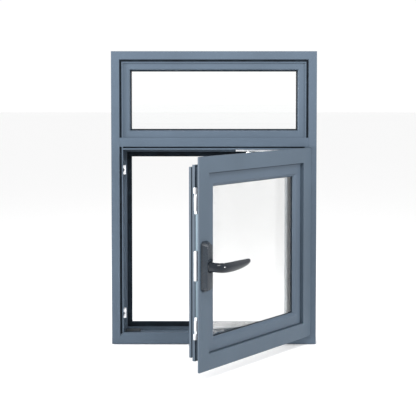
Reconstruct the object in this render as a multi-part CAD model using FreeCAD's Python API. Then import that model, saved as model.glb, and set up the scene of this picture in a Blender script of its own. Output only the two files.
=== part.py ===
import FreeCAD
import Part
import math
import os

os.makedirs("parts", exist_ok=True)
V = FreeCAD.Vector

# Driving dimensions, millimetres
FRAME_W = 600.0          # outer frame width
FRAME_H = 860.0          # outer frame height
Y_IN = -31.0             # interior face of the frame
Y_OUT = 31.0             # exterior face of the frame
REBATE = 34.0            # outer edge to rebate floor
LIP = 56.5               # outer edge to the exterior lip
WALL = 1.8               # extrusion wall
TRANSOM_Z = 590.3        # centre of the transom
T_HALF = 17.5            # half width of the transom's inner profile
AXIS_X = 279.0           # hinge axis
AXIS_Y = -35.0
OPEN_DEG = 55.0          # sash opening in the rest pose
SASH_X0 = -277.0         # sash flange outline, closed
SASH_X1 = 283.0
SASH_Z0 = 25.5
SASH_Z1 = 579.5
SASH_Y = -39.0           # front face of the closed sash
EDGE = 20.5              # flange edge to the sash chamber edge
FACE = 43.0              # flange edge to the bead seat
SIGHT = 79.5             # flange edge to the bead's inner edge
LEG = 61.0               # flange edge to the inner edge of the outdoor leg
SPINDLE_V = 22.0         # free flange edge to the handle spindle
SPINDLE_Z = 298.0
PITCH_R = 11.46          # 18 mm of rod travel per quarter turn
TRAVEL = 18.0
STAY_R = 70.0            # hinge axis to the stay's sash pivot, along the sash
STAY_BACK = 25.0         # and behind the axis
STAY_L = 135.0           # stay arm between pin centres
STAY_DEG = 30.25         # stay arm to the track in the rest pose
TRACK_Y = -10.0


def wire(points, z=0.0):
    """Closed wire in the section plane from (offset, depth) or (offset, depth, radius)."""
    n = len(points)
    ends = []
    for i in range(n):
        p = points[i]
        a = V(points[i - 1][0], points[i - 1][1], z)
        b = V(p[0], p[1], z)
        c = V(points[(i + 1) % n][0], points[(i + 1) % n][1], z)
        r = p[2] if len(p) > 2 else 0.0
        if r <= 0:
            ends.append((b, None, b))
            continue
        u = (a - b).normalize()
        w = (c - b).normalize()
        half = u.getAngle(w) / 2
        t = r / math.tan(half)
        s = b + u * t
        e = b + w * t
        mid = b + (u + w).normalize() * (r / math.sin(half) - r)
        ends.append((s, mid, e))
    edges = []
    for i in range(n):
        s, mid, e = ends[i]
        if mid is not None:
            edges.append(Part.Arc(s, mid, e).toShape())
        nxt = ends[(i + 1) % n][0]
        if (nxt - e).Length > 1e-6:
            edges.append(Part.LineSegment(e, nxt).toShape())
    return Part.Wire(edges)


def section(outer, holes=()):
    """Face of a profile's section with its chambers."""
    face = Part.Face(wire(outer))
    for h in holes:
        face = face.cut(Part.Face(wire(h)))
    return face.Faces[0]


def bar(outer, holes, length):
    """Straight profile: offset along +Z, depth along +Y, length along +X."""
    solid = section(outer, holes).extrude(V(0, 0, length))
    solid.Placement = FreeCAD.Placement(V(length, 0, 0), FreeCAD.Rotation(V(0, 1, 0), -90))
    return solid


def mitred(outer, holes, length, deep):
    """Profile with both ends cut at 45 degrees."""
    solid = bar(outer, holes, length)
    plan = [V(0, -200, 0), V(length, -200, 0), V(length - deep, -200, deep), V(deep, -200, deep), V(0, -200, 0)]
    keep = Part.Face(Part.makePolygon(plan)).extrude(V(0, 400, 0))
    return solid.common(keep)


def side_place(shape, side, x0, x1, z0, z1):
    """Bottom member turned to one of the four sides of a rectangle."""
    out = shape.copy()
    turn = {"bottom": 0, "right": -90, "top": 180, "left": 90}[side]
    at = {"bottom": V(x0, 0, z0), "right": V(x1, 0, z0), "top": V(x1, 0, z1), "left": V(x0, 0, z1)}[side]
    out.Placement = FreeCAD.Placement(at, FreeCAD.Rotation(V(0, 1, 0), turn)).multiply(out.Placement)
    return out


def four(outer, holes, x0, x1, z0, z1, deep):
    """Four mitred members round a rectangle, by side."""
    wide = mitred(outer, holes, x1 - x0, deep)
    tall = mitred(outer, holes, z1 - z0, deep)
    res = {}
    for side in ("bottom", "top"):
        res[side] = side_place(wide, side, x0, x1, z0, z1)
    for side in ("left", "right"):
        res[side] = side_place(tall, side, x0, x1, z0, z1)
    return res


def ring(outer, x0, x1, z0, z1, deep, holes=()):
    """One closed loop of a small section, such as a gasket."""
    parts = list(four(outer, holes, x0, x1, z0, z1, deep).values())
    out = parts[0].fuse(parts[1:])
    return out.removeSplitter()


def box(x0, x1, y0, y1, z0, z1):
    return Part.makeBox(x1 - x0, y1 - y0, z1 - z0, V(x0, y0, z0))


def cyl(r, p, q):
    a = V(*p)
    b = V(*q)
    return Part.makeCylinder(r, (b - a).Length, a, b - a)


def join(shapes):
    out = shapes[0].fuse(list(shapes[1:])) if len(shapes) > 1 else shapes[0]
    return out.removeSplitter()


NODES = {}


def sash_turn(shape):
    """Closed sash piece to the open rest pose."""
    out = shape.copy()
    out.rotate(V(AXIS_X, AXIS_Y, 0), V(0, 0, 1), OPEN_DEG)
    return out


def keep_fixed(name, shape):
    NODES[name] = shape


def keep_sash(name, shape):
    NODES[name] = sash_turn(shape)


X0 = -FRAME_W / 2
X1 = FRAME_W / 2


def frame_profiles():
    """Outer frame extrusions: interior and exterior shells, mitred at the corners."""
    inner = [(0, Y_IN, 0.8), (24, Y_IN, 0.5), (24, -26.5), (30.8, -26.5), (30.8, Y_IN, 0.4),
             (REBATE, Y_IN, 0.6), (REBATE, 4), (0, 4)]
    inner_hole = [(WALL, -29.2), (22.2, -29.2), (22.2, -24.7), (32.2, -24.7), (32.2, 2.2), (WALL, 2.2)]
    outer = [(0, 12), (REBATE, 12), (REBATE, 18.5), (LIP, 18.5, 0.6), (LIP, Y_OUT, 0.8), (0, Y_OUT, 0.8)]
    outer_hole = [(WALL, 13.8), (32.2, 13.8), (32.2, 20.3), (54.7, 20.3), (54.7, 29.2), (WALL, 29.2)]
    a = four(inner, [inner_hole], X0, X1, 0, FRAME_H, 60)
    plain = [(0, Y_IN, 0.8), (REBATE, Y_IN, 0.6), (REBATE, 4), (0, 4)]
    plain_hole = [(WALL, -29.2), (32.2, -29.2), (32.2, 2.2), (WALL, 2.2)]
    a["bottom"] = side_place(mitred(plain, [plain_hole], X1 - X0, 60), "bottom", X0, X1, 0, FRAME_H)
    b = four(outer, [outer_hole], X0, X1, 0, FRAME_H, 60)
    names = {"bottom": "sill", "top": "head", "left": "jamb_left", "right": "jamb_right"}
    # fixing holes through the jambs
    for side, sx in (("left", X0), ("right", X1)):
        inward = 1 if sx < 0 else -1
        for z in (180.0, 680.0):
            a[side] = a[side].cut(cyl(4.0, (sx - inward, -13, z), (sx + inward * 36, -13, z)))
    for z in (TRANSOM_Z - 9, TRANSOM_Z + 9):
        a["left"] = a["left"].cut(cyl(2.55, (X0 + 30, -11, z), (X0 + 36, -11, z)))
        a["right"] = a["right"].cut(cyl(2.55, (X1 - 30, -11, z), (X1 - 36, -11, z)))
    # the transom's face runs over the jambs' grooves
    low = TRANSOM_Z - 8.5
    high = TRANSOM_Z + T_HALF
    a["left"] = a["left"].cut(box(X0 + 24, X0 + 34.5, Y_IN - 1, -26.5, low, high))
    a["right"] = a["right"].cut(box(X1 - 34.5, X1 - 24, Y_IN - 1, -26.5, low, high))
    # keeper screw holes in the left jamb's rebate
    for zk in KEEPERS:
        for dz in (-9.0, 9.0):
            a["left"] = a["left"].cut(cyl(1.27, (X0 + 30, KEEP_Y, zk + dz), (X0 + 36, KEEP_Y, zk + dz)))
    # drainage slots in the sill
    for x in (-150.0, 150.0):
        b["bottom"] = b["bottom"].cut(box(x - 14, x + 14, 28, 33, 10, 15))
    for side in a:
        keep_fixed("frame_" + names[side] + "_inner", a[side])
        keep_fixed("frame_" + names[side] + "_outer", b[side])
    strips = []
    for o in (7.0, 26.0):
        loop = ring([(o, 4), (o + 2, 4), (o + 2, 12), (o, 12)], X0, X1, 0, FRAME_H, 60)
        strips.append(loop)
    keep_fixed("frame_thermal_strips", Part.makeCompound(strips))
    return a, b


def transom(a, b):
    """Transom between the jambs, with a lip both ways outside and grooves both ways inside."""
    xr = X1 - REBATE
    h = T_HALF
    inner = [(-h, Y_IN, 0.6), (-13, Y_IN, 0.4), (-13, -26.5), (-8.5, -26.5), (-8.5, Y_IN, 0.5),
             (h, Y_IN, 0.6), (h, 4), (-h, 4)]
    hole = [(-15.7, -24.7), (-6.7, -24.7), (-6.7, -29.2), (15.7, -29.2), (15.7, 2.2), (-15.7, 2.2)]
    lip = h + (LIP - REBATE)
    outer = [(-h, 12), (h, 12), (h, 18.5), (lip, 18.5, 0.6), (lip, Y_OUT, 0.8), (-lip, Y_OUT, 0.8),
             (-lip, 18.5, 0.6), (-h, 18.5)]
    ohole = [(-15.7, 13.8), (15.7, 13.8), (15.7, 20.3), (lip - 1.8, 20.3), (lip - 1.8, 29.2),
             (1.8 - lip, 29.2), (1.8 - lip, 20.3), (-15.7, 20.3)]
    length = 2 * xr
    at = FreeCAD.Placement(V(-xr, 0, TRANSOM_Z), FreeCAD.Rotation())
    ti = bar(inner, [hole], length)
    ti.Placement = at.multiply(ti.Placement)
    for s in (-1, 1):
        xa, xb = sorted((s * (xr - 0.5), s * (xr + 10)))
        ti = ti.fuse(box(xa, xb, Y_IN, -26.5, TRANSOM_Z - 8.5, TRANSOM_Z + h))
    ti = ti.removeSplitter()
    to = bar(outer, [ohole], length)
    to.Placement = at.multiply(to.Placement)
    cope = Part.makeBox(LIP - REBATE, 20, 200, V(-xr, 18.5, TRANSOM_Z - 100))
    cope2 = Part.makeBox(LIP - REBATE, 20, 200, V(xr - LIP + REBATE, 18.5, TRANSOM_Z - 100))
    to = to.cut([cope, cope2])
    for s in (-1, 1):
        for z in (-9, 9):
            ti = ti.cut(cyl(2.55, (s * (xr + 1), -11, TRANSOM_Z + z), (s * (xr - 3), -11, TRANSOM_Z + z)))
    keep_fixed("transom_inner", ti)
    keep_fixed("transom_outer", to)
    strips = []
    for o in (-10.0, 8.0):
        s = bar([(o, 4), (o + 2, 4), (o + 2, 12), (o, 12)], [], length)
        s.Placement = at.multiply(s.Placement)
        strips.append(s)
    keep_fixed("transom_thermal_strips", Part.makeCompound(strips))
    cleats = []
    screws = []
    for s in (-1, 1):
        xa, xb = sorted((s * (xr - 2.0), s * (xr - 42.0)))
        c = box(xa, xb, -24.2, 1.7, TRANSOM_Z - 15.2, TRANSOM_Z + 15.2)
        for z in (-9, 9):
            zc = TRANSOM_Z + z
            c = c.cut(cyl(2.55, (s * (xr + 1), -11, zc), (s * (xr - 26), -11, zc)))
            shank = cyl(2.5, (s * (xr + 1.8), -11, zc), (s * (xr - 25), -11, zc))
            head = cyl(4.5, (s * (xr + 1.8), -11, zc), (s * (xr + 5.0), -11, zc))
            screws.append(join([shank, head]))
        cleats.append(c)
    keep_fixed("transom_cleats", Part.makeCompound(cleats))
    keep_fixed("transom_screws", Part.makeCompound(screws))


def corner_cleats(name, x0, x1, z0, z1, o0, o1, y0, y1, leg, keep):
    """L-shaped corner cleats in the chambers."""
    out = []
    for sx, ex in ((1, x0), (-1, x1)):
        for sz, ez in ((1, z0), (-1, z1)):
            xa, xb = sorted((ex + sx * o0, ex + sx * leg))
            za, zb = sorted((ez + sz * o0, ez + sz * o1))
            one = box(xa, xb, y0, y1, za, zb)
            xa, xb = sorted((ex + sx * o0, ex + sx * o1))
            za, zb = sorted((ez + sz * o0, ez + sz * leg))
            out.append(join([one, box(xa, xb, y0, y1, za, zb)]))
    keep(name, Part.makeCompound(out))


def glazing(prefix, keep, x0, x1, z0, z1, bead, bead_hole, in_gasket, out_gasket, y_in, thick, spacer_w, c):
    """Double glazing in a rebate: beads, gaskets, two panes, spacer and packers."""
    beads = four(bead, [bead_hole], x0, x1, z0, z1, 40)
    for side, name in (("bottom", "bottom"), ("top", "top"), ("left", "left"), ("right", "right")):
        keep(prefix + "_bead_" + name, beads[side])
    keep(prefix + "_gasket_inner", ring(in_gasket, x0, x1, z0, z1, 60))
    keep(prefix + "_gasket_outer", ring(out_gasket, x0, x1, z0, z1, 60))
    y_out = y_in + thick
    pane_in = box(x0 + c, x1 - c, y_in, y_in + 4, z0 + c, z1 - c)
    pane_out = box(x0 + c, x1 - c, y_out - 4, y_out, z0 + c, z1 - c)
    keep(prefix + "_glass_inner", pane_in)
    keep(prefix + "_glass_outer", pane_out)
    w = spacer_w
    sp = box(x0 + c, x1 - c, y_in + 4, y_out - 4, z0 + c, z1 - c)
    sp = sp.cut(box(x0 + c + w, x1 - c - w, y_in, y_out, z0 + c + w, z1 - c - w))
    keep(prefix + "_spacer", sp)
    blocks = []
    for x in (x0 + 70, x1 - 70):
        blocks.append(box(x - 40, x + 40, y_in + 1, y_out - 1, z0, z0 + c))
        blocks.append(box(x - 40, x + 40, y_in + 1, y_out - 1, z1 - c, z1))
    zm = (z0 + z1) / 2
    blocks.append(box(x0, x0 + c, y_in + 1, y_out - 1, zm - 40, zm + 40))
    blocks.append(box(x1 - c, x1, y_in + 1, y_out - 1, zm - 40, zm + 40))
    keep(prefix + "_packers", Part.makeCompound(blocks))


def fixed_light():
    x0 = X0 + REBATE
    x1 = X1 - REBATE
    z0 = TRANSOM_Z + T_HALF
    z1 = FRAME_H - REBATE
    bead = [(0, -27), (18, -27, 1.5), (21, -23, 1.0), (21, -8), (0, -8)]
    hole = [(1.4, -25.6), (17.2, -25.6), (19.6, -22.4), (19.6, -9.4), (1.4, -9.4)]
    gin = [(14, -8), (21, -8), (25, -5.6, 0.4), (25, -4.5), (14, -4.5)]
    gout = [(13, 15.5), (22.5, 15.5), (22.5, 18.5), (13, 18.5)]
    glazing("toplight", keep_fixed, x0, x1, z0, z1, bead, hole, gin, gout, -4.5, 20.0, 8.0, 6.0)


def frame_gaskets():
    """Seals that belong to the frame."""
    xr = X1 - REBATE
    lip = [(9.5, 16.4), (11, 15.6), (22.5, 15.8, 0.5), (22.5, 18.5), (9.5, 18.5)]
    keep_fixed("frame_lip_gasket", ring(lip, -xr, xr, REBATE, TRANSOM_Z - T_HALF, 60))
    x = X1 - 24.6
    seal = [(0, -28.0), (5.6, -28.0), (5.6, -26.5), (0, -26.5)]
    legs = [box(sx, sx + 5.6, -28.0, -26.5, 31.2, TRANSOM_Z - 9.0) for sx in (-x, x - 5.6)]
    bar_low = box(-xr, xr, -28.0, -26.5, TRANSOM_Z - 12.8, TRANSOM_Z - 9.0)
    keep_fixed("frame_face_gasket_lower", Part.makeCompound(legs + [bar_low]))
    top = ring(seal, -x, x, TRANSOM_Z + T_HALF - 8, FRAME_H - 24.6, 20)
    top = top.cut(box(-x - 1, x + 1, -29, -26, TRANSOM_Z, TRANSOM_Z + T_HALF + 0.2))
    keep_fixed("frame_face_gasket_upper", top)


KEEPERS = (513.0, 89.0)
KEEP_Y = -19.8


def keepers():
    """Strike plates on the free-side jamb, each with a notched front lip."""
    bodies = []
    screws = []
    x = X0 + REBATE
    for z in KEEPERS:
        plate = box(x, x + 2.6, -22.2, -2, z - 13, z + 13)
        front = box(x, x + 7.6, -22.2, -17.4, z - 13, z + 13)
        back = box(x, x + 6.4, -8.6, -2, z - 13, z + 13)
        k = join([plate, front, back])
        notch = Part.Face(Part.makePolygon([V(x - 1, -24, z - 6.4), V(x - 1, -24, z + 6.4), V(x + 5.0, -24, z),
                                            V(x - 1, -24, z - 6.4)])).extrude(V(0, 24, 0))
        k = k.cut(notch)
        for dz in (-9.0, 9.0):
            zc = z + dz
            k = k.cut([cyl(1.27, (x - 1, KEEP_Y, zc), (x + 9, KEEP_Y, zc)),
                       cyl(2.15, (x + 5.4, KEEP_Y, zc), (x + 9, KEEP_Y, zc))])
            screws.append(join([cyl(1.25, (x - 3, KEEP_Y, zc), (x + 5.4, KEEP_Y, zc)),
                                cyl(2.1, (x + 5.4, KEEP_Y, zc), (x + 7.2, KEEP_Y, zc))]))
        bodies.append(k)
    keep_fixed("keeper_upper", bodies[0])
    keep_fixed("keeper_lower", bodies[1])
    keep_fixed("keeper_screws", Part.makeCompound(screws))
    block = box(x + 4, x + 49, -22, -4, REBATE, REBATE + 7)
    ramp = [V(x + 3, -23, REBATE + 3), V(x + 3, -23, REBATE + 8), V(x + 12, -23, REBATE + 8),
            V(x + 3, -23, REBATE + 3)]
    block = block.cut(Part.Face(Part.makePolygon(ramp)).extrude(V(0, 20, 0)))
    keep_fixed("run_up_block", block)
    caps = []
    for xc in (-150.0, 150.0):
        cap = box(xc - 18, xc + 18, Y_OUT, Y_OUT + 3, 7, 18)
        caps.append(cap.cut(box(xc - 15, xc + 15, Y_OUT, Y_OUT + 1.6, 6, 15)))
    keep_fixed("drain_caps", Part.makeCompound(caps))


def hinges():
    """Corner pivots: brackets and pins on the frame, bushes in the sash flange."""
    top = join([box(270, 285.5, -39, Y_IN, 580.2, 583.2), box(269.6, 275.6, Y_IN - 0.2, -28.2, 577.6, 581.4)])
    low = box(270, 285.5, -39, Y_IN, 21.6, 24.8)
    top = top.cut(cyl(2.0, (AXIS_X, AXIS_Y, 575), (AXIS_X, AXIS_Y, 592)))
    low = low.cut(cyl(2.0, (AXIS_X, AXIS_Y, 10), (AXIS_X, AXIS_Y, 26)))
    keep_fixed("hinge_bracket_top", top)
    keep_fixed("hinge_bracket_bottom", low)
    keep_fixed("hinge_pin_top", cyl(2.0, (AXIS_X, AXIS_Y, 560), (AXIS_X, AXIS_Y, 583.2)))
    keep_fixed("hinge_pin_bottom", cyl(2.0, (AXIS_X, AXIS_Y, 21.6), (AXIS_X, AXIS_Y, 45)))
    for name, z0, z1, c0, c1 in (("top", 559, 579.5, 579.5, 580.1), ("bottom", 25.5, 46, 24.85, 25.5)):
        tube = cyl(2.9, (AXIS_X, AXIS_Y, z0), (AXIS_X, AXIS_Y, z1))
        collar = cyl(3.7, (AXIS_X, AXIS_Y, c0), (AXIS_X, AXIS_Y, c1))
        bush = join([tube, collar]).cut(cyl(2.04, (AXIS_X, AXIS_Y, 0), (AXIS_X, AXIS_Y, 600)))
        keep_sash("hinge_bush_" + name, bush)


def sash():
    """Opening sash: interior and exterior shells, mitred; groove for the lock hardware."""
    y = SASH_Y
    inner = [(0, y, 0.9), (FACE, y, 0.7), (FACE, y + 39), (22.5, y + 39), (22.5, y + 31), (25, y + 31),
             (25, y + 33), (27.5, y + 33), (27.5, y + 18), (23, y + 18), (23, y + 20), (EDGE, y + 20),
             (EDGE, y + 7.5), (0, y + 7.5, 3.6)]
    hole = [(9.0, y + 1.8), (FACE - 1.8, y + 1.8), (FACE - 1.8, y + 37.2), (29.3, y + 37.2), (29.3, y + 16.2),
            (22.3, y + 16.2), (22.3, y + 5.7), (9.0, y + 5.7)]
    outer = [(28.6, y + 47), (LEG, y + 47, 0.4), (LEG, y + 54.2, 0.7), (28.6, y + 54.2, 0.7)]
    outer_hole = [(30.2, y + 48.6), (LEG - 1.6, y + 48.6), (LEG - 1.6, y + 52.6), (30.2, y + 52.6)]
    a = four(inner, [hole], SASH_X0, SASH_X1, SASH_Z0, SASH_Z1, 60)
    b = four(outer, [outer_hole], SASH_X0, SASH_X1, SASH_Z0, SASH_Z1, 90)
    names = {"bottom": "rail_bottom", "top": "rail_top", "left": "stile_lock", "right": "stile_hinge"}
    seat = cyl(2.9, (AXIS_X, AXIS_Y, 0), (AXIS_X, AXIS_Y, 600))
    for side in ("bottom", "top", "right"):
        a[side] = a[side].cut(seat)
    xs = SASH_X0 + 22.7
    slots = [box(xs, xs + 4.4, y - 1, y + 18.5, SPINDLE_Z + 28, SPINDLE_Z + 55),
             box(xs, xs + 4.4, y - 1, y + 18.5, SPINDLE_Z - 55, SPINDLE_Z - 28)]
    a["left"] = a["left"].cut(slots)
    for dz in (-58.0, 58.0):
        p = (SASH_X0 + SPINDLE_V, y - 1, SPINDLE_Z + dz)
        a["left"] = a["left"].cut(cyl(2.0, p, (p[0], y + 3, p[2])))
    for side in a:
        keep_sash("sash_" + names[side] + "_inner", a[side])
        keep_sash("sash_" + names[side] + "_outer", b[side])
    strips = []
    for v in (31.0, FACE - 4.0):
        strips.append(ring([(v, y + 39), (v + 2, y + 39), (v + 2, y + 47), (v, y + 47)],
                           SASH_X0, SASH_X1, SASH_Z0, SASH_Z1, 60))
    keep_sash("sash_thermal_strips", Part.makeCompound(strips))
    corner_cleats("sash_corner_cleats", SASH_X0, SASH_X1, SASH_Z0, SASH_Z1, 29.8, FACE - 2.3, y + 2.3, y + 36.7,
                  85.0, keep_sash)
    gk = [(17.8, y + 10), (EDGE, y + 10), (EDGE, y + 16), (17.8, y + 16)]
    keep_sash("sash_edge_gasket", ring(gk, SASH_X0, SASH_X1, SASH_Z0, SASH_Z1, 30))


def sash_light():
    x0 = SASH_X0 + FACE
    x1 = SASH_X1 - FACE
    z0 = SASH_Z0 + FACE
    z1 = SASH_Z1 - FACE
    y = SASH_Y
    w = SIGHT - FACE

    def bead_with_gap(g):
        outline = [(0, y + 12), (g, y + 12), (g, y + 8.4, 0.6), (w - 8, y + 8.4, 1.6), (w, y + 14.2, 1.2),
                   (w, y + 17), (0, y + 17)]
        chamber = [(1.4, y + 13.4), (g + 1.4, y + 13.4), (g + 1.4, y + 9.8), (w - 8.5, y + 9.8),
                   (w - 1.4, y + 15.0), (w - 1.4, y + 15.6), (1.4, y + 15.6)]
        return outline, chamber

    bead, hole = bead_with_gap(2.2)
    gin = [(22, y + 17), (w - 0.5, y + 17), (w + 1.5, y + 19.2, 0.4), (w + 1.5, y + 20), (22, y + 20)]
    leg = LEG - FACE
    gout = [(7, y + 44), (leg + 1, y + 44), (leg + 1, y + 46), (leg - 1, y + 47), (7, y + 47)]
    glazing("sash", keep_sash, x0, x1, z0, z1, bead, hole, gin, gout, y + 20, 24.0, 7.0, 4.0)
    # the upright beads stand further off their stiles
    bead, hole = bead_with_gap(5.0)
    uprights = four(bead, [hole], x0, x1, z0, z1, 40)
    for side in ("left", "right"):
        keep_sash("sash_bead_" + side, uprights[side])


def octagon(cx, cz, w, h, c, y):
    pts = [(-w / 2, -h / 2 + c), (-w / 2 + c, -h / 2), (w / 2 - c, -h / 2), (w / 2, -h / 2 + c),
           (w / 2, h / 2 - c), (w / 2 - c, h / 2), (-w / 2 + c, h / 2), (-w / 2, h / 2 - c)]
    vs = [V(cx + p[0], y, cz + p[1]) for p in pts]
    return Part.makePolygon(vs + [vs[0]])


def handle():
    """Cranked lever, spindle and pinion, with the long backplate that houses them."""
    cx = SASH_X0 + SPINDLE_V
    cz = SPINDLE_Z
    y = SASH_Y
    shell = Part.makeLoft([octagon(cx, cz, 34, 131, 7, y), octagon(cx, cz, 32, 128, 7, y - 6),
                           octagon(cx, cz, 23, 116, 6, y - 18)], True, True)
    core = Part.makeLoft([octagon(cx, cz, 30, 126, 6, y), octagon(cx, cz, 28.4, 123, 6, y - 6),
                          octagon(cx, cz, 20, 112, 5, y - 15.6)], True, True)
    bosses = []
    for dz in (-58.0, 58.0):
        bosses.append(cyl(4.2, (cx, y, cz + dz), (cx, y - 8, cz + dz)))
    plate = join([shell.cut(core)] + [b.common(shell) for b in bosses])
    plate = plate.cut(cyl(8.05, (cx, y - 10, cz), (cx, y - 20, cz)))
    for dz in (-58.0, 58.0):
        plate = plate.cut(cyl(1.98, (cx, y + 1, cz + dz), (cx, y - 6, cz + dz)))
    keep_sash("handle_backplate", plate)
    screws = []
    for dz in (-58.0, 58.0):
        screws.append(join([cyl(1.95, (cx, y + 1.8, cz + dz), (cx, y - 5.5, cz + dz)),
                            cyl(3.6, (cx, y + 1.8, cz + dz), (cx, y + 4.2, cz + dz))]))
    keep_sash("handle_screws", Part.makeCompound(screws))
    spindle = join([cyl(8.0, (cx, y - 8, cz), (cx, y - 22, cz)), cyl(5.0, (cx, y - 0.8, cz), (cx, y - 8, cz)),
                    cyl(PITCH_R - 0.16, (cx, y - 0.8, cz), (cx, y - 3.4, cz))])
    keep_sash("handle_spindle", spindle)
    # lever: oval sections along its crank (reach, height off the sash, rise, half height, half depth, lean)
    rows = [(0, 22, 0, 14.2, 10.9, 0), (0, 26, 0, 12.8, 10.5, 0), (0, 32, -0.2, 12.2, 10.3, 3),
            (2.0, 41, -0.4, 12.3, 10.2, 26), (10, 48.5, -1.0, 12.7, 9.8, 60), (25, 51.5, -1.9, 13.0, 9.1, 84),
            (48, 52, -2.2, 13.1, 8.6, 90), (74, 51.5, -1.6, 12.4, 7.9, 90), (98, 50.5, -0.8, 11.0, 7.2, 90),
            (117, 49.5, 0.4, 9.2, 6.6, 90), (128, 49.0, 2.0, 7.6, 5.8, 90), (134, 48.8, 3.2, 5.0, 4.2, 90),
            (135.8, 48.8, 3.6, 2.4, 2.2, 90)]
    loops = []
    for x, h, rise, hh, hd, lean in rows:
        t = math.radians(lean)
        pts = []
        for k in range(16):
            q = 2 * math.pi * k / 16
            side = hd * math.sin(q)
            pts.append(V(cx + x + side * math.cos(t), y - h + side * math.sin(t), cz + rise + hh * math.cos(q)))
        loop = Part.BSplineCurve()
        loop.interpolate(pts, PeriodicFlag=True)
        loops.append(Part.Wire([loop.toShape()]))
    grip = Part.makeLoft(loops, True, False)
    keep_sash("handle_lever", grip)


def rods():
    """Two flat rods in the hardware groove, each with its rack, prong and lock hook."""
    y = SASH_Y
    xg = SASH_X0
    cz = SPINDLE_Z
    for name, s in (("upper", 1), ("lower", -1)):
        def span(a, b):
            return tuple(sorted((cz + s * a, cz + s * b)))
        side = SASH_X0 + SPINDLE_V + s * 12.5
        r0, r1 = span(-19, 34)
        rack = box(side - 0.9, side + 0.9, y - 3.4, y - 0.8, r0, r1)
        c0, c1 = span(29, 34)
        xa, xb = sorted((side, xg + 25.0))
        cross = box(min(xa, xg + 23.9), max(xb, xg + 26.2), y - 3.4, y - 0.8, c0, c1)
        prong = box(xg + 23.9, xg + 26.2, y - 3.4, y + 20.0, c0, c1)
        hook_out = 201.0 if s > 0 else 192.0
        hook_in = 133.0 if s > 0 else 135.0
        d0, d1 = span(6, hook_out)
        strip = box(xg + 23.9, xg + 26.2, y + 18.6, y + 30.6, d0, d1)
        keep_sash("rod_" + name, join([rack, cross, prong, strip]))
        h0, h1 = span(hook_in, hook_out)
        block = box(xg + 20.2, xg + 23.9, y + 23.2, y + 30.4, h0, h1)
        k0, k1 = span(hook_out - 15, hook_out)
        head = box(xg + 14.2, xg + 20.6, y + 23.4, y + 29.6, k0, k1)
        rise0, rise1 = span(hook_in + 8, hook_out - 22)
        rise = box(xg + 17.6, xg + 20.6, y + 23.8, y + 29.8, rise0, rise1)
        keep_sash("lock_hook_" + name, join([block, head, rise]))
    cover = box(xg + 17.4, xg + 23.1, y + 22.8, y + 30.8, cz - 40, cz + 38)
    cover = cover.makeFillet(3.4, [e for e in cover.Edges if e.BoundBox.XLength > 3 and e.BoundBox.ZMin > cz])
    keep_sash("lock_cover", cover)


def stay():
    """Friction stay: bracket on the sash, arm, and a track under the transom."""
    zf = TRANSOM_Z - T_HALF
    track = box(64, 205, TRACK_Y - 8, TRACK_Y + 8, zf - 5.8, zf)
    track = track.cut(box(60, 210, TRACK_Y - 4.9, TRACK_Y + 4.9, zf - 6, zf - 1.5))
    keep_fixed("stay_track", track)
    stops = []
    for xa, xb in ((64.0, 68.0), (126.0, 132.0)):
        stops.append(box(xa, xb, TRACK_Y - 4.9, TRACK_Y + 4.9, zf - 5.6, zf - 1.5))
    keep_fixed("stay_stops", Part.makeCompound(stops))
    xp = AXIS_X - STAY_R
    yp = AXIS_Y + STAY_BACK
    ztop = SASH_Z1 - EDGE
    plate = box(xp - 20, xp + 20, SASH_Y + 18.5, SASH_Y + 37.5, ztop, ztop + 2.2)
    lower = box(xp - 19, xp + 19, SASH_Y + 20.2, SASH_Y + 30.8, ztop - 4, ztop)
    keep_sash("stay_bracket", join([plate, lower, cyl(3.0, (xp, yp, ztop + 2), (xp, yp, ztop + 6.5))]))
    ang = math.radians(OPEN_DEG)
    rx = -STAY_R * math.cos(ang) - STAY_BACK * math.sin(ang)
    ry = -STAY_R * math.sin(ang) + STAY_BACK * math.cos(ang)
    px = AXIS_X + rx
    py = AXIS_Y + ry
    arm = box(-STAY_L, 0, -7, 7, ztop + 2.8, ztop + 5.3)
    arm = arm.fuse([cyl(7, (0, 0, ztop + 2.8), (0, 0, ztop + 5.3)),
                    cyl(7, (-STAY_L, 0, ztop + 2.8), (-STAY_L, 0, ztop + 5.3))]).removeSplitter()
    arm = arm.cut([cyl(3.05, (0, 0, ztop), (0, 0, ztop + 9)),
                   cyl(2.5, (-STAY_L, 0, ztop), (-STAY_L, 0, ztop + 9))])
    pin = join([cyl(2.5, (-STAY_L, 0, ztop + 2.8), (-STAY_L, 0, ztop + 5.3)),
                cyl(3.0, (-STAY_L, 0, ztop + 5.3), (-STAY_L, 0, zf - 1.8))])
    at = FreeCAD.Placement(V(px, py, 0), FreeCAD.Rotation(V(0, 0, 1), -STAY_DEG))
    for name, shape in (("stay_arm", arm), ("stay_slider_pin", pin)):
        shape.Placement = at.multiply(shape.Placement)
        keep_fixed(name, shape)


# like pieces that are supplied and fitted as a set leave in one file, each still its own solid
SETS = {
    "frame_thermal_strips": ("frame_thermal_strips", "transom_thermal_strips"),
    "frame_cleats": ("frame_corner_cleats", "transom_cleats"),
    "frame_face_gaskets": ("frame_face_gasket_lower", "frame_face_gasket_upper"),
    "toplight_glass": ("toplight_glass_inner", "toplight_glass_outer"),
    "toplight_gaskets": ("toplight_gasket_inner", "toplight_gasket_outer"),
    "toplight_beads_level": ("toplight_bead_bottom", "toplight_bead_top"),
    "toplight_beads_upright": ("toplight_bead_left", "toplight_bead_right"),
    "sash_glass": ("sash_glass_inner", "sash_glass_outer"),
    "sash_gaskets": ("sash_gasket_inner", "sash_gasket_outer"),
    "sash_beads_level": ("sash_bead_bottom", "sash_bead_top"),
    "sash_beads_upright": ("sash_bead_left", "sash_bead_right"),
    "keepers": ("keeper_upper", "keeper_lower"),
    "hinge_brackets": ("hinge_bracket_top", "hinge_bracket_bottom"),
    "hinge_pins": ("hinge_pin_top", "hinge_pin_bottom"),
    "hinge_bushes": ("hinge_bush_top", "hinge_bush_bottom"),
}


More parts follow.
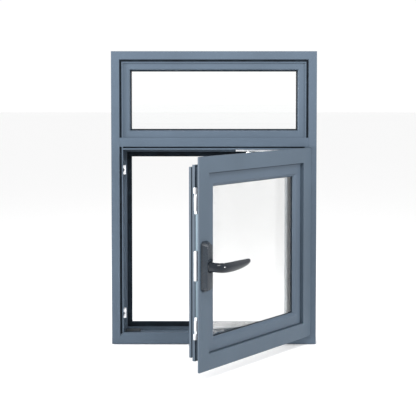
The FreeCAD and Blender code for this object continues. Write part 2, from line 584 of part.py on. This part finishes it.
def check_solids(name, shape):
    for s in shape.Solids:
        if not s.isValid() or s.Volume <= 0:
            print("BAD", name, s.isValid(), s.Volume)


a, b = frame_profiles()
transom(a, b)
corner_cleats("frame_corner_cleats", X0, X1, 0, FRAME_H, 2.4, 31.6, -24.1, 1.6, 74.0, keep_fixed)
fixed_light()
frame_gaskets()
keepers()
hinges()
sash()
sash_light()
handle()
rods()
stay()
for group, members in SETS.items():
    pieces = []
    for member in members:
        pieces.extend(NODES.pop(member).Solids)
    NODES[group] = Part.makeCompound(pieces)
for node, shape in NODES.items():
    check_solids(node, shape)
    if len(shape.Solids) == 1:
        shape = shape.Solids[0]
    shape.exportStep("parts/" + node + ".step")
print(len(NODES), "nodes")
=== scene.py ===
import math

import bmesh
import bpy
from mathutils import Matrix, Vector


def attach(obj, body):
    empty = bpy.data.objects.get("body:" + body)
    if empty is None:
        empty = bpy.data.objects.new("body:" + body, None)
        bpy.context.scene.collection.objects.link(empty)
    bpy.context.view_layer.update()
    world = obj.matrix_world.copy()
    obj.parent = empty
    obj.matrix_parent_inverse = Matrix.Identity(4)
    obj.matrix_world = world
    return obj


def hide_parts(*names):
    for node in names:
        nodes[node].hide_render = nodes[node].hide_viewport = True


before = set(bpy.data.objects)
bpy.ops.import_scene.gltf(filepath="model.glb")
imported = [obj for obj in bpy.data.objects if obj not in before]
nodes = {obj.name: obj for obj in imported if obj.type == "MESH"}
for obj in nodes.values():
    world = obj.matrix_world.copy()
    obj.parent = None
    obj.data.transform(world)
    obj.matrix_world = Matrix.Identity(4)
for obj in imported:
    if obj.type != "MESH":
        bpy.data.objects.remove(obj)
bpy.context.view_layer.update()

# Outer frame and transom: thermally broken aluminium extrusions, an indoor and an outdoor
# shell on each side, mitred and crimped at the corners, then powder coated blue-grey.
# The coat is a fine matt texture with a faint orange peel and a little settled dust.


def new_material(name, color, rough, metal=0.0, gloss=0.5):
    mat = bpy.data.materials.new(name)
    mat.use_nodes = True
    tree = mat.node_tree
    bsdf = tree.nodes["Principled BSDF"]
    bsdf.inputs["Base Color"].default_value = (*color, 1.0)
    bsdf.inputs["Roughness"].default_value = rough
    bsdf.inputs["Metallic"].default_value = metal
    bsdf.inputs["Specular IOR Level"].default_value = gloss
    return mat, tree, bsdf


def object_noise(tree, scale, detail=2.0, stretch=(1.0, 1.0, 1.0)):
    place = tree.nodes.new("ShaderNodeTexCoord")
    turn = tree.nodes.new("ShaderNodeMapping")
    turn.inputs["Scale"].default_value = stretch
    tree.links.new(place.outputs["Object"], turn.inputs["Vector"])
    noise = tree.nodes.new("ShaderNodeTexNoise")
    noise.inputs["Scale"].default_value = scale
    noise.inputs["Detail"].default_value = detail
    tree.links.new(turn.outputs["Vector"], noise.inputs["Vector"])
    return noise


def colour_between(tree, source, dark, light, low=0.35, high=0.65):
    ramp = tree.nodes.new("ShaderNodeValToRGB")
    ramp.color_ramp.elements[0].position = low
    ramp.color_ramp.elements[0].color = (*dark, 1.0)
    ramp.color_ramp.elements[1].position = high
    ramp.color_ramp.elements[1].color = (*light, 1.0)
    tree.links.new(source, ramp.inputs["Fac"])
    return ramp.outputs["Color"]


def number_between(tree, source, low, high):
    span = tree.nodes.new("ShaderNodeMapRange")
    span.inputs["To Min"].default_value = low
    span.inputs["To Max"].default_value = high
    tree.links.new(source, span.inputs["Value"])
    return span.outputs["Result"]


def add_bump(tree, bsdf, source, strength, distance):
    bump = tree.nodes.new("ShaderNodeBump")
    bump.inputs["Strength"].default_value = strength
    bump.inputs["Distance"].default_value = distance
    tree.links.new(source, bump.inputs["Height"])
    tree.links.new(bump.outputs["Normal"], bsdf.inputs["Normal"])


def dress(material, *names):
    for name in names:
        mesh = nodes[name].data
        if not mesh.materials:
            mesh.materials.append(material)
        for i in range(len(mesh.materials)):
            mesh.materials[i] = material


COAT_ROUGH = 0.45
COAT_GLOSS = 0.2


def powder_coat(name, color):
    mat, tree, bsdf = new_material(name, color, COAT_ROUGH, 0.0, COAT_GLOSS)
    cloud = object_noise(tree, 5.0, 4.0)
    dark = tuple(c * 0.94 for c in color)
    light = tuple(c * 1.06 for c in color)
    shade = colour_between(tree, cloud.outputs["Fac"], dark, light)
    fleck = object_noise(tree, 1400.0, 1.0)
    spark = colour_between(tree, fleck.outputs["Fac"], (0.9,) * 3, (1.12,) * 3, 0.3, 0.75)
    mix = tree.nodes.new("ShaderNodeMix")
    mix.data_type = "RGBA"
    mix.blend_type = "MULTIPLY"
    mix.inputs["Factor"].default_value = 1.0
    tree.links.new(shade, mix.inputs["A"])
    tree.links.new(spark, mix.inputs["B"])
    tree.links.new(mix.outputs["Result"], bsdf.inputs["Base Color"])
    rub = object_noise(tree, 22.0, 3.0)
    tree.links.new(number_between(tree, rub.outputs["Fac"], COAT_ROUGH - 0.06, COAT_ROUGH + 0.08),
                   bsdf.inputs["Roughness"])
    peel = object_noise(tree, 620.0, 2.0)
    add_bump(tree, bsdf, peel.outputs["Fac"], 0.25, 0.00025)
    return mat


frame_coat = powder_coat("blue_grey_powder_coat", (0.058, 0.080, 0.108))
dress(frame_coat, "frame_head_inner", "frame_head_outer", "frame_sill_inner", "frame_sill_outer",
      "frame_jamb_left_inner", "frame_jamb_left_outer", "frame_jamb_right_inner",
      "frame_jamb_right_outer", "transom_inner", "transom_outer")

# Thermal breaks: two black glass-filled polyamide strips rolled between the indoor and
# outdoor shells of each profile, fine lengthwise drawing marks and a dull, dense surface.


def mottled(tree, bsdf, noise, dark, light, low=0.35, high=0.65):
    """The noise drifts the base colour between a dark and a light value."""
    tree.links.new(colour_between(tree, noise.outputs["Fac"], dark, light, low, high),
                   bsdf.inputs["Base Color"])


strip_black, tree, bsdf = new_material("polyamide_black", (0.006, 0.008, 0.010), 0.62, 0.0, 0.08)
drawn = object_noise(tree, 260.0, 2.0)
mottled(tree, bsdf, drawn, (0.004, 0.006, 0.008), (0.009, 0.012, 0.015))
add_bump(tree, bsdf, drawn.outputs["Fac"], 0.2, 0.0002)
dress(strip_black, "frame_thermal_strips", "sash_thermal_strips")

# Corner and transom cleats: sawn lengths of mill-finish aluminium section pushed into the
# chambers and crimped, with saw lines across them; the transom's screws are zinc plated.


def worked(tree, bsdf, noise, smooth, rough, strength, distance):
    """The same noise varies the roughness and raises the surface."""
    tree.links.new(number_between(tree, noise.outputs["Fac"], smooth, rough), bsdf.inputs["Roughness"])
    add_bump(tree, bsdf, noise.outputs["Fac"], strength, distance)


mill_alloy, tree, bsdf = new_material("mill_aluminium", (0.62, 0.63, 0.65), 0.38, 1.0)
saw = object_noise(tree, 90.0, 3.0, (1.0, 1.0, 9.0))
worked(tree, bsdf, saw, 0.28, 0.52, 0.3, 0.0002)
dress(mill_alloy, "frame_cleats", "sash_corner_cleats")

zinc_steel, tree, bsdf = new_material("zinc_plated_steel", (0.60, 0.61, 0.63), 0.3, 1.0)
crystal = object_noise(tree, 700.0, 2.0)
worked(tree, bsdf, crystal, 0.22, 0.42, 0.15, 0.0001)
dress(zinc_steel, "transom_screws", "hinge_pins", "stay_slider_pin", "handle_spindle")

# Seals: black EPDM gaskets pushed into the profile grooves, the central seal on the frame's
# outdoor lip, and the glazing wedges; soft matt rubber with a faint bloom of dust.
seal_black, tree, bsdf = new_material("epdm_rubber", (0.004, 0.007, 0.010), 0.7, 0.0, 0.08)
bloom = object_noise(tree, 40.0, 4.0)
mottled(tree, bsdf, bloom, (0.003, 0.005, 0.008), (0.007, 0.012, 0.018))
skin = object_noise(tree, 800.0, 2.0)
add_bump(tree, bsdf, skin.outputs["Fac"], 0.3, 0.0002)
dress(seal_black, "frame_face_gaskets", "frame_lip_gasket", "toplight_gaskets", "sash_gaskets",
      "sash_edge_gasket")

# Glazing beads: hollow snap-in aluminium beads in the same coat, cut to length and clipped
# over the glass from indoors, chamfered towards the pane.
dress(frame_coat, "toplight_beads_level", "toplight_beads_upright", "sash_beads_level",
      "sash_beads_upright")

# Double glazing: two panes of 4 mm clear float on a dark warm-edge spacer, standing on black
# plastic packers in the rebate; very slightly green, with a trace of handling film.
clear_float, tree, bsdf = new_material("clear_float_glass", (0.97, 0.99, 0.985), 0.0)
bsdf.inputs["Transmission Weight"].default_value = 1.0
bsdf.inputs["IOR"].default_value = 1.45
bsdf.inputs["Alpha"].default_value = 0.2
film = object_noise(tree, 9.0, 3.0)
tree.links.new(number_between(tree, film.outputs["Fac"], 0.0, 0.02), bsdf.inputs["Roughness"])
dress(clear_float, "toplight_glass", "sash_glass")

moulded_black, tree, bsdf = new_material("moulded_black_plastic", (0.010, 0.014, 0.018), 0.5, 0.0, 0.3)
grain = object_noise(tree, 500.0, 2.0)
worked(tree, bsdf, grain, 0.42, 0.6, 0.2, 0.00015)
dress(moulded_black, "toplight_packers", "sash_packers", "toplight_spacer", "sash_spacer", "stay_stops",
      "hinge_bushes")

# Drain caps: two moulded hoods clipped over the sill's drainage slots outdoors, in a plastic
# coloured to match the coat, with softened moulded edges.
SAME_POINT = 0.00001
FLAT_DEGREES = 1.0
EDGE_DEGREES = 28.0


def object_from(bm, name):
    mesh = bpy.data.meshes.new(name)
    bm.to_mesh(mesh)
    bm.free()
    made = bpy.data.objects.new(name, mesh)
    bpy.context.collection.objects.link(made)
    return made


def smooth_faces(piece):
    for face in piece.data.polygons:
        face.use_smooth = True


def softened(node, name, width, segments=2):
    """A copy of a solid's skin with its triangles merged to clean faces and its edges eased."""
    bm = bmesh.new()
    bm.from_mesh(nodes[node].data)
    bmesh.ops.remove_doubles(bm, verts=bm.verts, dist=SAME_POINT)
    bmesh.ops.dissolve_limit(bm, angle_limit=math.radians(FLAT_DEGREES), verts=bm.verts,
                             edges=bm.edges)
    bmesh.ops.recalc_face_normals(bm, faces=bm.faces)
    piece = object_from(bm, name)
    ease = piece.modifiers.new("eased_edges", "BEVEL")
    ease.width = width
    ease.segments = segments
    ease.limit_method = "ANGLE"
    ease.angle_limit = math.radians(EDGE_DEGREES)
    ease.harden_normals = True
    smooth_faces(piece)
    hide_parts(node)
    return piece


def finish_piece(piece, material, body):
    piece.data.materials.clear()
    piece.data.materials.append(material)
    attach(piece, body)


cap_grey, tree, bsdf = new_material("moulded_cap_grey", (0.058, 0.082, 0.114), 0.5)
grain = object_noise(tree, 420.0, 2.0)
worked(tree, bsdf, grain, 0.42, 0.58, 0.2, 0.00015)
finish_piece(softened("drain_caps", "drain_hoods", 0.0006), cap_grey, "frame")

# Strike plates: cast zinc keepers in white, screwed to the jamb's rebate, each with a raised
# front lip notched in a V and a lower rear lip; the lock hook slides down between them.
hardware_white, tree, bsdf = new_material("white_stove_enamel", (0.68, 0.69, 0.71), 0.28)
wear = object_noise(tree, 120.0, 4.0)
mottled(tree, bsdf, wear, (0.55, 0.56, 0.58), (0.68, 0.69, 0.71), 0.25, 0.5)
cast = object_noise(tree, 520.0, 2.0)
add_bump(tree, bsdf, cast.outputs["Fac"], 0.18, 0.0001)
finish_piece(softened("keepers", "strike_plates", 0.0005), hardware_white, "frame")
dress(zinc_steel, "keeper_screws")

# Run-up block: a moulded polyamide ramp on the sill that lifts the closing sash on to its
# seals, black with a fine moulded grain and eased edges.
finish_piece(softened("run_up_block", "sill_run_up_block", 0.0008), moulded_black, "frame")

# Hinges: two small coated corner brackets with steel pivot pins; the pins turn in nylon
# bushes pressed into the sash's flange.
# The sash grey is the frame's coat made a few per cent darker: painted shade for the opened sash turned
# away from the light, shared by the hinge brackets.
SASH_GREY_PAINTED_SHADE = (0.056, 0.078, 0.104)
hinge_coat_painted_shade = powder_coat("hinge_powder_coat_painted_shade", SASH_GREY_PAINTED_SHADE)
finish_piece(softened("hinge_brackets", "corner_hinge_brackets", 0.0005), hinge_coat_painted_shade, "frame")

# Opening sash: four mitred stiles and rails with a rebated flange that closes over the frame
# and a groove round the edge for the lock hardware, in the same powder coat, a little darker as painted
# shade.
sash_coat_painted_shade = powder_coat("sash_powder_coat_painted_shade", SASH_GREY_PAINTED_SHADE)
dress(sash_coat_painted_shade, "sash_rail_bottom_inner", "sash_rail_bottom_outer", "sash_rail_top_inner",
      "sash_rail_top_outer", "sash_stile_hinge_inner", "sash_stile_hinge_outer",
      "sash_stile_lock_inner", "sash_stile_lock_outer")

# Lock gear in the sash's edge: flat drawn-aluminium rods that slide in the groove, each with a
# white cast hook, and a white cover plate over the point where the handle's racks reach them.
# The rods' dark slate-blue base colour is painted shade and painted reflection of the blue-grey groove
# they run in, darker than the drawn metal itself.
rod_alloy_painted_shade, tree, bsdf = new_material("drawn_aluminium_rod_painted_shade", (0.09, 0.13, 0.16), 0.44, 0.4)
draw = object_noise(tree, 240.0, 2.0, (6.0, 6.0, 0.4))
worked(tree, bsdf, draw, 0.26, 0.46, 0.2, 0.0001)
dress(rod_alloy_painted_shade, "rod_upper", "rod_lower")
finish_piece(softened("lock_cover", "groove_cover_plate", 0.0005), hardware_white, "sash")
finish_piece(softened("lock_hook_upper", "upper_lock_hook", 0.0006), hardware_white, "rod_upper")
finish_piece(softened("lock_hook_lower", "lower_lock_hook", 0.0006), hardware_white, "rod_lower")

# Handle: die-cast zinc lever on a long chamfered backplate, gunmetal black, the lever in a hard
# gloss and the plate in a satin whose paler base colour is painted reflection of the bright
# surroundings; the lever flares into the plate, which two screws hold.
plate_satin_painted_reflection, tree, bsdf = new_material("gunmetal_satin_painted_reflection", (0.012, 0.018, 0.026), 0.27, 0.0, 0.5)
haze = object_noise(tree, 40.0, 2.0)
mottled(tree, bsdf, haze, (0.010, 0.016, 0.024), (0.013, 0.020, 0.029))
tree.links.new(number_between(tree, haze.outputs["Fac"], 0.24, 0.30), bsdf.inputs["Roughness"])
fine = object_noise(tree, 900.0, 1.0)
add_bump(tree, bsdf, fine.outputs["Fac"], 0.03, 0.0001)
finish_piece(softened("handle_backplate", "handle_long_plate", 0.0014, 4), plate_satin_painted_reflection, "sash")
dress(zinc_steel, "handle_screws")

lacquer, tree, bsdf = new_material("gunmetal_lacquer", (0.005, 0.008, 0.013), 0.15, 0.0, 0.24)
bsdf.inputs["Coat Weight"].default_value = 0.2
bsdf.inputs["Coat Roughness"].default_value = 0.06
touch = object_noise(tree, 60.0, 4.0)
mottled(tree, bsdf, touch, (0.003, 0.006, 0.010), (0.007, 0.011, 0.017))
tree.links.new(number_between(tree, touch.outputs["Fac"], 0.10, 0.20), bsdf.inputs["Roughness"])
fine = object_noise(tree, 900.0, 1.0)
add_bump(tree, bsdf, fine.outputs["Fac"], 0.06, 0.0001)

OPEN_DEGREES = 55.0
RING_POINTS = 20
SMOOTHING = 2
hinge_line = Vector((0.279, -0.035, 0.0))
open_turn = Matrix.Rotation(math.radians(OPEN_DEGREES), 3, "Z")
hub = Vector((-0.255, -0.039, 0.298))
# Each ring: reach along the sash, height off it, rise, half height, half depth, lean in degrees.
rings = [
    (0.0, 0.0183, 0.0, 0.0156, 0.0113, 0), (0.0, 0.0196, 0.0, 0.0153, 0.0112, 0),
    (0.0, 0.0222, 0.0, 0.0142, 0.0109, 0), (0.0, 0.0262, 0.0, 0.0128, 0.0105, 0),
    (0.0, 0.0320, -0.0002, 0.0122, 0.0103, 3), (0.0020, 0.0410, -0.0004, 0.0124, 0.0103, 26),
    (0.0100, 0.0485, -0.0010, 0.0128, 0.0099, 60), (0.0250, 0.0515, -0.0019, 0.0131, 0.0092, 84),
    (0.0480, 0.0520, -0.0022, 0.0132, 0.0087, 90), (0.0740, 0.0515, -0.0016, 0.0125, 0.0080, 90),
    (0.0980, 0.0505, -0.0008, 0.0111, 0.0073, 90), (0.1170, 0.0495, 0.0004, 0.0093, 0.0067, 90),
    (0.1280, 0.0490, 0.0020, 0.0078, 0.0060, 90), (0.1345, 0.0488, 0.0032, 0.0054, 0.0046, 90),
    (0.1362, 0.0488, 0.0036, 0.0030, 0.0026, 90),
]
bm = bmesh.new()
before = []
for reach, height, rise, half_high, half_deep, lean in rings:
    made = bmesh.ops.create_circle(bm, cap_ends=False, segments=RING_POINTS, radius=1.0)["verts"]
    ring_edges = list(dict.fromkeys(edge for vert in made for edge in vert.link_edges))
    bmesh.ops.scale(bm, verts=made, vec=(half_deep, half_high, 1.0))
    for degrees, axis in ((90, "X"), (lean, "Z")):
        turn = Matrix.Rotation(math.radians(degrees), 3, axis)
        bmesh.ops.rotate(bm, verts=made, cent=(0, 0, 0), matrix=turn)
    bmesh.ops.translate(bm, verts=made, vec=(reach, -height, rise))
    if before:
        bmesh.ops.bridge_loops(bm, edges=before + ring_edges)
    else:
        bmesh.ops.contextual_create(bm, geom=ring_edges)
    before = ring_edges
bmesh.ops.contextual_create(bm, geom=before)
bmesh.ops.translate(bm, verts=bm.verts, vec=hub)
bmesh.ops.rotate(bm, verts=bm.verts, cent=hinge_line, matrix=open_turn)
bmesh.ops.recalc_face_normals(bm, faces=bm.faces)
lever = object_from(bm, "crank_lever")
smooth_faces(lever)
smooth = lever.modifiers.new("smooth", "SUBSURF")
smooth.levels = SMOOTHING
smooth.render_levels = SMOOTHING
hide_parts("handle_lever")
finish_piece(lever, lacquer, "handle")

# Friction stay: a pressed stainless arm pinned to a bracket on the sash's top edge, its far
# pin sliding in a channel under the transom between two plastic stops.
stay_steel, tree, bsdf = new_material("stainless_stay", (0.86, 0.87, 0.88), 0.36, 0.8)
brush = object_noise(tree, 300.0, 2.0, (0.3, 3.0, 3.0))
worked(tree, bsdf, brush, 0.22, 0.42, 0.15, 0.0001)
dress(stay_steel, "stay_arm")
finish_piece(softened("stay_track", "stay_channel", 0.0004), stay_steel, "frame")
finish_piece(softened("stay_bracket", "stay_sash_bracket", 0.0004), stay_steel, "sash")

# Plain pale floor: one wide flat sheet just under the sill, with a matt surface, so that the
# window stands on it with only a faint shadow.
FLOOR_SIZE = 30.0
FLOOR_DROP = 0.002
bm = bmesh.new()
bmesh.ops.create_grid(bm, x_segments=1, y_segments=1, size=FLOOR_SIZE)
bmesh.ops.translate(bm, verts=bm.verts, vec=(0.0, 0.0, -FLOOR_DROP))
floor = object_from(bm, "floor")
pale, tree, bsdf = new_material("pale_floor", (0.92, 0.92, 0.92), 0.9)
floor.data.materials.append(pale)

# Plain soft studio light: white all round, one soft light high in front for the upper part,
# a tall one far to the left that catches the turned edges, and a small one to the right
# that leaves glints along the lever.
world = bpy.data.worlds.new("studio")
bpy.context.scene.world = world
world.use_nodes = True
backdrop = world.node_tree.nodes["Background"]
backdrop.inputs["Color"].default_value = (1.0, 1.0, 1.0, 1.0)
backdrop.inputs["Strength"].default_value = 1.02


def area_light(name, place, aim, size, power, spread):
    lamp = bpy.data.lights.new(name, "AREA")
    lamp.shape = "RECTANGLE"
    lamp.size = size[0]
    lamp.size_y = size[1]
    lamp.energy = power
    lamp.spread = math.radians(spread)
    obj = bpy.data.objects.new(name, lamp)
    bpy.context.collection.objects.link(obj)
    obj.location = place
    obj.rotation_euler = (Vector(aim) - Vector(place)).to_track_quat("-Z", "Y").to_euler()


area_light("high_front_light", (0.2, -1.35, 1.65), (0.0, -0.05, 0.9), (0.8, 0.5), 8.5, 90.0)
area_light("tall_left_light", (-2.5, -0.75, 0.85), (0.0, -0.3, 0.45), (0.5, 1.6), 60.0, 140.0)
area_light("right_glint_light", (2.2, -1.25, 0.62), (0.0, -0.4, 0.32), (0.42, 0.42), 14.0, 120.0)

# Camera: a long lens level with the top light and tipped slightly down, shifted so that the
# whole window stays in view with its uprights nearly straight.
TIP_DOWN = 0.051
camera = bpy.data.cameras.new("camera")
camera.lens = 102.0
camera.sensor_width = 36.0
camera.shift_x = -0.0145
camera.shift_y = -0.15
camera_object = bpy.data.objects.new("camera", camera)
bpy.context.collection.objects.link(camera_object)
camera_object.location = (0.0003, -3.469, 0.7604)
camera_object.rotation_euler = (math.pi / 2 - TIP_DOWN, 0.0, 0.0)
bpy.context.scene.camera = camera_object
bpy.context.scene.view_settings.view_transform = "Standard"
